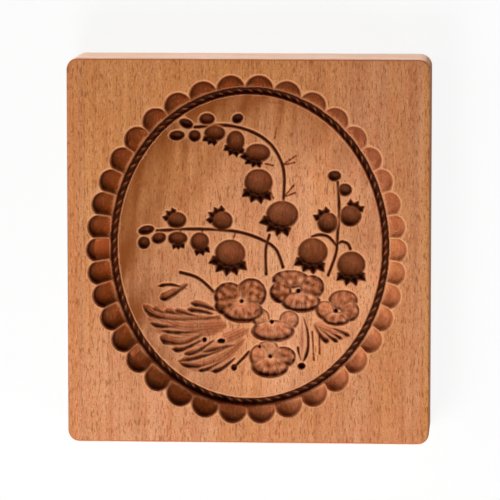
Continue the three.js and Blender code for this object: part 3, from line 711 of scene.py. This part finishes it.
# A V-shaped cut along a bent line. The function ends gives the share of full size along it, lean moves the
# deepest line aside, and wander makes the stroke uneven.
def cut_line(face, path, width, depth, stain, ends, lean=0.0, steepness=1.0, vein_depth=0.0, wander=0.0):
    length = sum(math.dist(a, b) for a, b in zip(path, path[1:]))
    line = bent_line(path, max(LEAST_LINE_POINTS, round(length / (2 * GRID_STEP))))
    run = np.gradient(line, axis=0)
    run /= np.linalg.norm(run, axis=1)[:, None]
    shares = np.linspace(0, 1, len(line))

    def shape(x, y):
        away = np.stack([x.ravel(), y.ravel()], axis=1)[:, None, :] - line[None, :, :]
        nearest = np.argmin((away**2).sum(axis=2), axis=1)
        offset = away[np.arange(len(nearest)), nearest]
        heading = run[nearest]
        side = offset[:, 1] * heading[:, 0] - offset[:, 0] * heading[:, 1]
        distance = np.hypot(offset[:, 0], offset[:, 1])
        uneven = unevenness(x.ravel(), y.ravel(), STROKE_WANDER_LENGTH, seed=31)
        share = ends(shares[nearest]) * (1 + wander * uneven)
        reach = np.maximum(share * width / 2, TINY)
        place = np.clip(np.copysign(distance, side) / reach, -1, 1)
        slope = np.where(place < lean, (place + 1) / (lean + 1), (1 - place) / (1 - lean))
        veins = vein_depth * np.cos(2 * math.pi * np.copysign(distance, side) / LEAF_VEIN_PITCH)
        cut = (depth + RIM_LIFT) * slope**steepness + veins * (slope > 0)
        left = floor_z(x.ravel(), y.ravel()) + RIM_LIFT - cut * share
        return np.where(distance < reach, left, np.inf).reshape(x.shape)

    face.cut(line.min(axis=0) - width, line.max(axis=0) + width, shape, stain)


def even_width(share):
    return np.ones_like(share)


def pointed_ends(share):
    return np.maximum(0, np.sin(math.pi * share)) ** BED_FULLNESS


def gouged_ends(share):
    return np.minimum(1, share / GOUGE_TIP_SHARE) ** GOUGE_TIP_FULLNESS * (1 - share) ** GOUGE_TAIL_FULLNESS


# A gouge cut with a blunt, deep tip at the path's start; its lower side on the board is the steeper one
def cut_leaf(face, path, width):
    lean = -LEAF_LEAN if path[-1][0] > path[0][0] else LEAF_LEAN
    depth = LEAF_CUT_DEPTH * min(1, width)
    edge = (lean, LEAF_STEEPNESS, LEAF_VEIN_DEPTH, STROKE_WANDER)
    cut_line(face, path, width, depth, STAIN_LEAF, gouged_ends, *edge)


# A round bell with a crown of short pointed lobes at its mouth
def cut_bell(face, at, size, mouth, lobes):
    share = (size[0] + size[1]) / (2 * LARGE_BELL_WIDTH)
    cut_hollow(face, at, size, BELL_DEPTH * math.sqrt(share), STAIN_BELL)
    for i in range(lobes):
        angle = math.radians(mouth + (i - (lobes - 1) / 2) * LOBE_SPREAD_DEG)
        reach = ellipse_reach(size[0] / 2, size[1] / 2, angle) + LOBE_SETBACK * share
        cut_lobe(face, place_round(at, reach, angle), angle, share)
    shaded_crown(face, at, size, math.radians(mouth), math.radians(lobes * LOBE_SPREAD_DEG / 2), share)


# Painted shade: the dark band that joins the lobes of a crown along the bell's mouth
def shaded_crown(face, at, size, mouth, half_turn, share):
    def line_shade(x, y):
        angle = np.arctan2(y - at[1], x - at[0])
        edge = 1 / np.hypot(np.cos(angle) / (size[0] / 2), np.sin(angle) / (size[1] / 2))
        beyond = np.hypot(x - at[0], y - at[1]) - edge
        aside = np.abs((angle - mouth + math.pi) % (2 * math.pi) - math.pi)
        return CROWN_SHADE * (np.abs(beyond) < CROWN_BAND * share / 2) * (aside < half_turn)
    face.paint_shade(at, max(size) / 2 + CROWN_BAND, line_shade)


# A pointed cut whose widest and deepest place lies near its foot
def cut_lobe(face, foot, angle, share):
    depth = BELL_LOBE_DEPTH * math.sqrt(share) + RIM_LIFT
    top = float(floor_z(*foot)) + RIM_LIFT

    def shape(x, y):
        along, across = turned(x, y, foot, angle)
        length = np.where(along > 0, LOBE_LENGTH, LOBE_FOOT_LENGTH) * share
        room = 1 - np.abs(along) / length - np.abs(across) / (LOBE_HALF_WIDTH * share)
        return np.where(room > 0, top - depth * np.maximum(0, room) ** LOBE_STEEPNESS, np.inf)
    face.cut_round(foot, LOBE_LENGTH * share + GRID_STEP, shape, STAIN_LOBE)


def cut_pansy(face, eye, petals):
    for petal in petals:
        cut_petal(face, **petal, eye=eye)
    for i, petal in enumerate(petals):
        shaded_outline(face, petal, petals[:i], petals[i + 1:])
    cut_hollow(face, eye, (2 * EYE_RADIUS,) * 2, EYE_DEPTH, STAIN_EYE)


def cut_picture(face):
    for bed in LEAF_BEDS + FAINT_BEDS:
        cut_line(face, **bed, ends=pointed_ends, vein_depth=LEAF_VEIN_DEPTH)
    for width, path in LEAF_CUTS:
        cut_leaf(face, path, width)
    for pansy in PANSIES:
        cut_pansy(face, **pansy)
    for path in STEMS:
        cut_line(face, path, STEM_WIDTH, STEM_DEPTH, STAIN_STEM, even_width)
    for path in WHISKERS:
        cut_line(face, path, WHISKER_WIDTH, WHISKER_DEPTH, STAIN_WHISKER, even_width)
    for bell in BELLS:
        cut_bell(face, **bell)
    for at, size, turn in BUDS:
        cut_hollow(face, at, size, BUD_DEPTH, STAIN_BELL, math.radians(turn))
    for at, size, depth in PITS:
        cut_hollow(face, at, size, depth, STAIN_EYE)


def carved_face():
    face = Face()
    cut_floor(face)
    cut_border(face)
    cut_rope(face)
    cut_picture(face)
    face.height = np.minimum(blurred(face.height, EDGE_SOFTNESS), FACE_Z)
    face.stain = blurred(face.stain, EDGE_SOFTNESS)
    line_shade = blurred(face.line_shade, EDGE_SOFTNESS)
    # Painted shade in creases at the feet of walls, fullest in stained hollows, and the painted shade along
    # petal outlines and crowns
    face.crease = np.clip((blurred(face.height, CREASE_REACH) - face.height) / CREASE_DEPTH, 0, 1)
    face.crease = np.maximum(face.crease * np.clip(face.stain / CREASE_FULL_STAIN, 0, 1), line_shade)
    # Rims paler from wear and a painted highlight, less so where stained and none under painted shade
    face.wear = np.clip((face.height - blurred(face.height, WEAR_REACH)) / WEAR_HEIGHT, 0, 1)
    face.wear *= (1 - WEAR_LOST_IN_STAIN * face.stain) * (1 - line_shade)
    face.patina = blurred(bare_patina(face), EDGE_SOFTNESS)
    return face


# How much darker the bare wood is at each place
def bare_patina(face):
    across, along = oval_place(face.x, face.y)
    darkest = math.radians(DARKENING_DARKEST_DEG)
    outward = np.minimum(1, np.hypot(across, along))
    toward = (across * math.cos(darkest) + along * math.sin(darkest)) / np.maximum(outward, TINY)
    toward = np.clip(toward, -1, 1)
    patina = DARKENING_STRENGTH * outward**DARKENING_NARROWNESS * ((1 + toward) / 2) ** DARKENING_SPREAD
    patina += DARKENING_EVEN_SHARE * (1 + toward * np.minimum(1, 2 * outward))
    streaks = unevenness(face.x, face.y / DARKENING_STREAK_STRETCH, DARKENING_STREAK_WIDTH, seed=9)
    patina *= 1 + DARKENING_STREAKS * streaks
    # Soft spots, the first of them painted shade by the rope on the right
    for x, y, reach, strength in FLOOR_SPOTS:
        away = np.hypot(face.x - x, face.y - y)
        patina += strength * np.exp(-((away / reach) ** 2))
    is_floor = face.height < FACE_Z - FLOOR_EDGE_DEPTH / 2
    # The face darkens a little toward the top: painted shade
    on_face = np.interp(face.y, (0, BOARD_LENGTH / 2), (FACE_DARKENING, FACE_DARKENING_TOP))
    return np.where(is_floor, np.clip(patina, -1, 1), on_face)


# Directions straight out of the board at its outline
def outward_directions(points):
    run = np.roll(points, -1, axis=0) - np.roll(points, 1, axis=0)
    out = np.stack([run[:, 1], -run[:, 0]], axis=1)
    return out / np.linalg.norm(out, axis=1)[:, None]


# Offsets and heights of the rings that run from the face's edge round to the back
def side_rings():
    eased = [math.radians(90 * k / EASE_STEPS) for k in range(1, EASE_STEPS + 1)]
    rings = [(EDGE_EASE * math.sin(a), FACE_Z - EDGE_EASE * (1 - math.cos(a))) for a in eased]
    for height in np.linspace(FACE_Z - EDGE_EASE, EDGE_EASE, SIDE_STEPS + 1)[1:-1]:
        rings.append((EDGE_EASE, float(height)))
    rings += [(EDGE_EASE * math.cos(a), EDGE_EASE * (1 - math.sin(a))) for a in [0.0] + eased]
    return rings


# The whole board as one closed skin: the carved face, rounded edges, sides and back
def board_mesh(face):
    rows, columns = face.x.shape
    top = np.stack([face.x, face.y, face.height], axis=-1).reshape(-1, 3)
    numbers = np.arange(rows * columns).reshape(rows, columns)
    quads = np.stack([numbers[:-1, :-1], numbers[:-1, 1:], numbers[1:, 1:], numbers[1:, :-1]], axis=-1)
    ring = np.concatenate([numbers[0, :-1], numbers[:-1, -1], numbers[-1, :0:-1], numbers[:0:-1, 0]])
    outline = top[ring, :2]
    out = outward_directions(outline)
    points, faces = [top], [quads.reshape(-1, 4)]
    used = len(top)
    levels = [(outline + out * offset, height) for offset, height in side_rings()]
    levels += [(outline * share, 0.0) for share in BACK_SHARES]
    for places, height in levels:
        points.append(np.column_stack([places, np.full(len(places), height)]))
        following = np.arange(used, used + len(places))
        used += len(places)
        faces.append(np.stack([ring, following, np.roll(following, -1), np.roll(ring, -1)], axis=1))
        ring = following
    centre = used
    points.append(np.zeros((1, 3)))
    corners = [quad.tolist() for quad in np.vstack(faces)]
    corners += [[int(a), centre, int(b)] for a, b in zip(ring, np.roll(ring, -1))]
    mesh = bpy.data.meshes.new("carved_board")
    mesh.from_pydata((np.vstack(points) * MM).tolist(), [], corners)
    mesh.validate()
    return mesh


# The board with fewer triangles where it is flat, smooth shading and crisp edges
def board_piece(face):
    piece = bpy.data.objects.new("carved_board", board_mesh(face))
    bpy.context.scene.collection.objects.link(piece)
    piece.data.calc_loop_triangles()
    thin = piece.modifiers.new("fewer triangles", "DECIMATE")
    thin.ratio = KEPT_TRIANGLES / len(piece.data.loop_triangles)
    thin.use_collapse_triangulate = True
    thinned = piece.evaluated_get(bpy.context.evaluated_depsgraph_get())
    piece.data = bpy.data.meshes.new_from_object(thinned)
    piece.modifiers.clear()
    piece.data.shade_smooth()
    give_normals(piece.data, face)
    add_surface_values(piece.data, face)
    lay_out_texture(piece.data)
    return piece


# A value, or a row of values, for each element of a mesh
def read_all(elements, name, width=1, kind=float):
    values = np.empty(len(elements) * width, kind)
    elements.foreach_get(name, values)
    return values.reshape(-1, width)


# The mesh's points in millimetres, and the row and column of the grid that each is nearest to
def places_on_grid(mesh, face):
    places = read_all(mesh.vertices, "co", 3) / MM
    return places, *nearest_on_grid(places, face)


def nearest_on_grid(places, face):
    column = np.interp(places[:, 0], face.columns, np.arange(len(face.columns)))
    row = np.interp(places[:, 1], face.rows, np.arange(len(face.rows)))
    return np.round(row).astype(int), np.round(column).astype(int)


# Each point's sideways direction out of the board, and how far it is round the edge: 0 is flat, 1 a side
def edge_turn(places):
    inner = np.array([BOARD_WIDTH, BOARD_LENGTH]) / 2 - CORNER_RADIUS
    away = np.sign(places[:, :2]) * np.maximum(0, np.abs(places[:, :2]) - inner)
    reach = np.maximum(np.linalg.norm(away, axis=1), TINY)
    return away / reach[:, None], np.clip((reach - CORNER_RADIUS + EDGE_EASE) / EDGE_EASE, 0, 1)


# Directions straight out of the smooth board: from the grid's slope on the face, elsewhere by formula
def surface_directions(mesh, face):
    places, row, column = places_on_grid(mesh, face)
    slope_y, slope_x = np.gradient(face.height, face.rows, face.columns)
    carved = np.stack([-slope_x[row, column], -slope_y[row, column], np.ones(len(places))], axis=1)
    sideways, outside = edge_turn(places)
    upward = np.sqrt(1 - outside**2) * np.sign(places[:, 2] - BOARD_THICKNESS / 2)
    rounded = np.column_stack([sideways * outside[:, None], upward])
    is_plain = (outside > 0) | (places[:, 2] < EDGE_EASE)
    found = np.where(is_plain[:, None], rounded, carved)
    return found / np.linalg.norm(found, axis=1)[:, None]


# Each triangle corner's point, and which triangles are broad; a broad one ends at the rim of a cut
def corners_and_broad(mesh):
    corners = read_all(mesh.loops, "vertex_index", kind=int)[:, 0]
    return corners, read_all(mesh.polygons, "area")[:, 0] > BROAD_TRIANGLE * MM**2


# Smooth shading from the true surface, but a broad triangle isn't shaded round the rim it ends at
def give_normals(mesh, face):
    corners, is_broad = corners_and_broad(mesh)
    directions = surface_directions(mesh, face)[corners]
    facing = np.repeat(read_all(mesh.polygons, "normal", 3), 3, axis=0)
    turns_away = (directions * facing).sum(axis=1) < math.cos(math.radians(RIM_TURN_DEG))
    is_rim = turns_away & np.repeat(is_broad, 3)
    directions[is_rim] = facing[is_rim]
    mesh.normals_split_custom_set(directions.tolist())


# Values at each triangle corner: stain, painted crease shade, wear with a painted highlight and darkening
# from the grid, and how far it is round onto an end, a long side and the rounded edge of an end. A long
# triangle takes no more than its middle has.
def add_surface_values(mesh, face):
    places, row, column = places_on_grid(mesh, face)
    corners, is_broad = corners_and_broad(mesh)
    is_carved = places[:, 2] > FACE_Z - ROPE_BOTTOM_DEPTH - BELL_DEPTH
    triangles = places[corners].reshape(-1, 3, 3)
    sides = np.linalg.norm(triangles - np.roll(triangles, 1, axis=1), axis=2)
    is_long = sides.max(axis=1) > LONG_TRIANGLE
    middles = nearest_on_grid(triangles[is_long].mean(axis=1), face)
    for name in ("stain", "crease", "wear", "patina"):
        values = getattr(face, name)
        found = np.where(is_carved, values[row, column], 0)[corners].reshape(-1, 3)
        if name != "patina":
            found[is_long] = np.minimum(found[is_long], values[middles][:, None])
            found[is_broad] = found[is_broad].min(axis=1)[:, None]
        add_corner_values(mesh, name, found.ravel())
    sideways, outside = edge_turn(places)
    add_corner_values(mesh, "end", (outside * sideways[:, 1] ** 2)[corners])
    add_corner_values(mesh, "flank", (outside * sideways[:, 0] ** 2)[corners])
    halfway = 4 * outside * (1 - outside)
    add_corner_values(mesh, "end_edge", (halfway * sideways[:, 1] ** 2)[corners])


def add_corner_values(mesh, name, values):
    attribute = mesh.attributes.new(name, "FLOAT", "CORNER")
    attribute.data.foreach_set("value", values.astype(np.float32))


# Lays the surface flat on the texture square: each triangle with the side it faces most, but all that is
# carved with the face, so that the picture stays in one piece. The layer is named OFBake.
def lay_out_texture(mesh):
    corners, _ = corners_and_broad(mesh)
    places = read_all(mesh.vertices, "co", 3)[corners] / MM
    centres = places.reshape(-1, 3, 3).mean(axis=1)
    outward = np.array([part["out"] for part in TEXTURE_PARTS])
    chosen = (read_all(mesh.polygons, "normal", 3) @ outward.T).argmax(axis=1)
    is_carved = (edge_turn(centres)[1] == 0) & (centres[:, 2] > EDGE_EASE)
    chosen[is_carved] = 0
    on_square = np.empty((len(places), 2))
    for number, part in enumerate(TEXTURE_PARTS):
        flat = places @ np.array([part["right"], part["up"]]).T
        flat = (flat - flat.min(axis=0)) * part["scale"] + part["corner"]
        is_here = np.repeat(chosen == number, 3)
        on_square[is_here] = flat[is_here] / TEXTURE_SQUARE
    layer = mesh.uv_layers.new(name="OFBake")
    layer.data.foreach_set("uv", on_square.astype(np.float32).ravel())


# Adds a shader node; its inputs, by name or _number, are numbers, colours or other nodes' outputs
def add_node(tree, kind, settings=None, **inputs):
    node = tree.nodes.new("ShaderNode" + kind)
    for name, value in (settings or {}).items():
        setattr(node, name, value)
    for name, value in inputs.items():
        socket = node.inputs[int(name[1:])] if name[1:].isdigit() else node.inputs[name.replace("_", " ")]
        if isinstance(value, bpy.types.NodeSocket):
            tree.links.new(value, socket)
        else:
            socket.default_value = value
    return node


# A colour's levels from 0 to 255 as the linear shares that shaders take
def linear(red, green, blue):
    values = []
    for level in (red, green, blue):
        share = level / 255
        values.append(share / 12.92 if share <= 0.04045 else ((share + 0.055) / 1.055) ** 2.4)
    return (*values, 1.0)


def math_node(tree, operation, first, second=0.0, third=0.0, clamp=False):
    settings = dict(operation=operation, use_clamp=clamp)
    return add_node(tree, "Math", settings, _0=first, _1=second, _2=third).outputs[0]


def mixed(tree, share, first, second):
    return add_node(tree, "Mix", dict(data_type="RGBA"), _0=share, _6=first, _7=second).outputs[2]


# A share that rises smoothly from 0 to 1 while value runs from low to high
def ramp(tree, value, low, high):
    settings = dict(interpolation_type="SMOOTHSTEP")
    return add_node(tree, "MapRange", settings, Value=value, From_Min=low, From_Max=high).outputs[0]


def noise(tree, place, size, detail, roughness):
    scale = tuple(1 / s for s in size)
    stretched = add_node(tree, "VectorMath", dict(operation="MULTIPLY"), _0=place, _1=scale).outputs[0]
    look = dict(Scale=1.0, Detail=detail, Roughness=roughness)
    return add_node(tree, "TexNoise", Vector=stretched, **look).outputs["Fac"]


# What the layers of colour follow: the wood's patterns, the surface's values and places in millimetres
def layer_guides(tree, place):
    guides = {name: noise(tree, place, *look) for name, look in PATTERNS.items()}
    for name in ("stain", "crease", "wear", "patina", "end", "end_edge", "flank"):
        guides[name] = add_node(tree, "Attribute", dict(attribute_name=name)).outputs["Fac"]
    unstained = math_node(tree, "SUBTRACT", 1.0, guides["stain"], clamp=True)
    unstained_squared = math_node(tree, "MULTIPLY", unstained, unstained)
    guides["half_stained"] = math_node(tree, "MULTIPLY", guides["stain"], unstained_squared, clamp=True)
    guides["across"], along, _ = add_node(tree, "SeparateXYZ", Vector=place).outputs
    guides["leftward"] = math_node(tree, "MULTIPLY", guides["across"], -1.0)
    guides["up_left"] = math_node(tree, "ADD", guides["leftward"], along)
    return guides


def layered(tree, colour, layers, guides):
    for follows, between, strength, added in layers:
        share = ramp(tree, guides[follows], *between) if between else guides[follows]
        share = math_node(tree, "MULTIPLY", share, strength)
        colour = mixed(tree, share, colour, linear(*added))
    return colour


def beech():
    material = bpy.data.materials.new("oiled_beech")
    material.use_nodes = True
    tree = material.node_tree
    tree.nodes.clear()
    position = add_node(tree, "TexCoord").outputs["Object"]
    place = add_node(tree, "VectorMath", dict(operation="SCALE"), _0=position, Scale=1 / MM).outputs[0]
    guides = layer_guides(tree, place)
    bare = layered(tree, linear(*BARE_WOOD), BARE_LAYERS, guides)
    oiled = layered(tree, linear(*OILED_WOOD), OILED_LAYERS, guides)
    raw_lit = layered(tree, linear(*RAW_LIT_WOOD), RAW_LIT_LAYERS, guides)
    colour = layered(tree, mixed(tree, guides["stain"], bare, oiled), USE_LAYERS, guides)
    # Pale raw end grain on the ends, painted paler as if lit, then painted shade on the long sides
    colour = mixed(tree, ramp(tree, guides["end"], *RAW_LIT_BETWEEN), colour, raw_lit)
    colour = layered(tree, colour, FLANK_SHADE_LAYERS, guides)

    relief = math_node(tree, "MULTIPLY_ADD", guides["flecks"], SPECK_RELIEF, guides["streaks"])
    relief = math_node(tree, "MULTIPLY_ADD", guides["pores"], SPECK_RELIEF, relief)
    bump = add_node(tree, "Bump", Strength=RELIEF_STRENGTH, Distance=RELIEF_HEIGHT, Height=relief).outputs[0]
    rough = math_node(tree, "MULTIPLY_ADD", guides["streaks"], STREAK_ROUGHNESS, LEAST_ROUGHNESS)
    shader = add_node(tree, "BsdfPrincipled", Base_Color=colour, Roughness=rough, Normal=bump)
    shader.inputs["Specular IOR Level"].default_value = SPECULAR_LEVEL
    add_node(tree, "OutputMaterial", Surface=shader.outputs[0])
    return material


# The pale floor, near white to the camera, that keeps the board's soft shadow
def pale_floor():
    material = bpy.data.materials.new("pale_floor")
    material.use_nodes = True
    tree = material.node_tree
    tree.nodes.clear()
    matte = add_node(tree, "BsdfDiffuse", Color=(*[FLOOR_PALENESS] * 3, 1)).outputs[0]
    white = add_node(tree, "Emission", Color=(1, 1, 1, 1)).outputs[0]
    rays = add_node(tree, "LightPath").outputs
    seen = 0.0
    for ray in ("Is Camera Ray", "Is Glossy Ray", "Is Transmission Ray"):
        seen = math_node(tree, "ADD", seen, rays[ray], clamp=True)
    shares = math_node(tree, "MULTIPLY", seen, FLOOR_WHITENESS)
    pale = add_node(tree, "MixShader", _0=shares, _1=matte, _2=white).outputs[0]
    add_node(tree, "OutputMaterial", Surface=pale)
    mesh = bpy.data.meshes.new("floor")
    corners = [(FLOOR_REACH * x, FLOOR_REACH * y, 0) for x, y in ((-1, -1), (1, -1), (1, 1), (-1, 1))]
    mesh.from_pydata(corners, [], [(0, 1, 2, 3)])
    floor = bpy.data.objects.new("floor", mesh)
    floor.data.materials.append(material)
    floor.location.z = -FLOOR_DROP
    bpy.context.scene.collection.objects.link(floor)


def lamp(name, azimuth, elevation, watts, size, distance):
    light = bpy.data.lights.new(name, "AREA")
    light.energy = watts
    light.size = size
    lit = bpy.data.objects.new(name, light)
    turn, rise = math.radians(azimuth), math.radians(elevation)
    way = Vector((math.cos(turn) * math.cos(rise), math.sin(turn) * math.cos(rise), math.sin(rise)))
    lit.location = way * distance
    lit.rotation_euler = way.to_track_quat("Z", "Y").to_euler()
    bpy.context.scene.collection.objects.link(lit)


def studio():
    for settings in LAMPS:
        lamp(*settings)
    world = bpy.data.worlds.new("studio")
    bpy.context.scene.world = world
    world.use_nodes = True
    background = world.node_tree.nodes["Background"].inputs
    background["Color"].default_value = (1, 1, 1, 1)
    background["Strength"].default_value = WORLD_LIGHT


def camera():
    target = Vector((*CAMERA_AIM, FACE_Z)) * MM
    way = Vector((math.sin(math.radians(CAMERA_RIGHT_DEG)), math.sin(math.radians(CAMERA_UP_DEG)), 0))
    way.z = math.sqrt(1 - way.length_squared)
    data = bpy.data.cameras.new("camera")
    data.sensor_width = SENSOR_WIDTH
    data.lens = LENS_LENGTH
    data.clip_end = CAMERA_FAR_END
    seen = bpy.data.objects.new("camera", data)
    right = (-way).cross(Vector((0, 1, 0))).normalized()
    up = right.cross(-way)
    turn = Matrix((right, up, way)).transposed().to_4x4()
    seen.matrix_world = Matrix.Translation(target + way * CAMERA_DISTANCE) @ turn
    bpy.context.scene.collection.objects.link(seen)
    bpy.context.scene.camera = seen


board = board_piece(carved_face())
board.data.materials.append(beech())
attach(board, "root")
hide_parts("mould_block")
pale_floor()
studio()
camera()
bpy.context.scene.view_settings.view_transform = "Standard"
